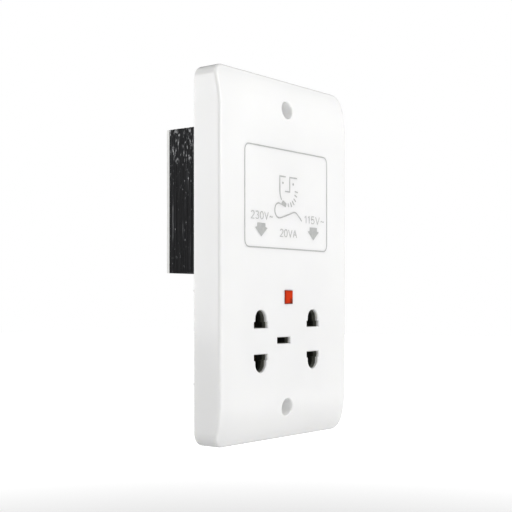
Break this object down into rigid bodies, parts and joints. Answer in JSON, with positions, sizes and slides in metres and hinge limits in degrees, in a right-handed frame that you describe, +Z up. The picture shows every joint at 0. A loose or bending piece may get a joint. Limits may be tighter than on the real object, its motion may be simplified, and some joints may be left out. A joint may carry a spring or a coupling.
{
  "type": "shaver socket",
  "caption": "Dual-voltage isolated shaver outlet on a white wall plate, with keyhole plug apertures, a red indicator lens, and an isolating transformer with mains terminals behind.",
  "frame": {"origin": "middle of the plate in the plane of its rim, halfway between the two fixing holes", "axes": "+Z up, +X to the right seen from the room, +Y into the wall"},
  "size_m": [0.086, 0.054, 0.146],
  "materials": {
    "white_moulding": "glossy white moulded urea",
    "red_lens": "translucent orange-red",
    "lamp_glass": "clear glass",
    "resistor_body": "lacquered ceramic",
    "black_moulding": "black phenolic",
    "contact_brass": "rolled strip",
    "carriage_nylon": "natural nylon",
    "spring_steel": "spring wire",
    "terminal_moulding": "off-white nylon",
    "screw_steel": "zinc-plated",
    "core_varnish": "black varnish over laminations",
    "bobbin_nylon": "glass-filled nylon",
    "pin_tin": "tinned",
    "enamelled_copper": "enamelled copper wire",
    "winding_tape": "polyester tape",
    "cutout_case": "moulded case",
    "insulator_sheet": "white insulating board",
    "lead_brown": "insulated wire",
    "lead_blue": "insulated wire",
    "lead_red": "insulated wire",
    "lead_yellow": "insulated wire",
    "lead_black": "insulated wire"
  },
  "bodies": {
    "unit": {"front_plate": "white_moulding", "indicator_lens": "red_lens", "neon_lamp": "lamp_glass", "lamp_resistor": "resistor_body", "contact_carrier": "black_moulding", "rear_cover": "black_moulding", "contact_left_upper": "contact_brass", "contact_left_lower": "contact_brass", "contact_right_upper": "contact_brass", "contact_right_lower": "contact_brass", "common_link": "contact_brass", "switch_blade_left": "contact_brass", "switch_blade_right": "contact_brass", "carriage_spring": "spring_steel", "terminal_block": "terminal_moulding", "terminal_clamps": "contact_brass", "terminal_screws": "screw_steel", "core_e_stack": "core_varnish", "core_i_stack": "core_varnish", "bobbin": "bobbin_nylon", "bobbin_pins": "pin_tin", "primary_winding": "enamelled_copper", "secondary_winding": "enamelled_copper", "primary_tape": "winding_tape", "secondary_tape": "winding_tape", "thermal_cutout": "cutout_case", "rear_insulator": "insulator_sheet", "core_screws": "screw_steel", "cover_screws": "screw_steel", "lead_switch": "lead_brown", "lead_neutral": "lead_blue", "lead_230_volt": "lead_red", "lead_115_volt": "lead_yellow", "lead_common": "lead_black"},
    "carriage": {"switch_carriage": "carriage_nylon", "contact_bridge": "contact_brass"}
  },
  "joints": [
    {"name": "carriage_push", "type": "slide", "parent": "unit", "child": "carriage", "axis": [0, 1, 0], "range_m": [0, 0.005], "stiffness_N_per_m": 250, "springref_m": -0.003, "deforming": ["carriage_spring"]}
  ]
}
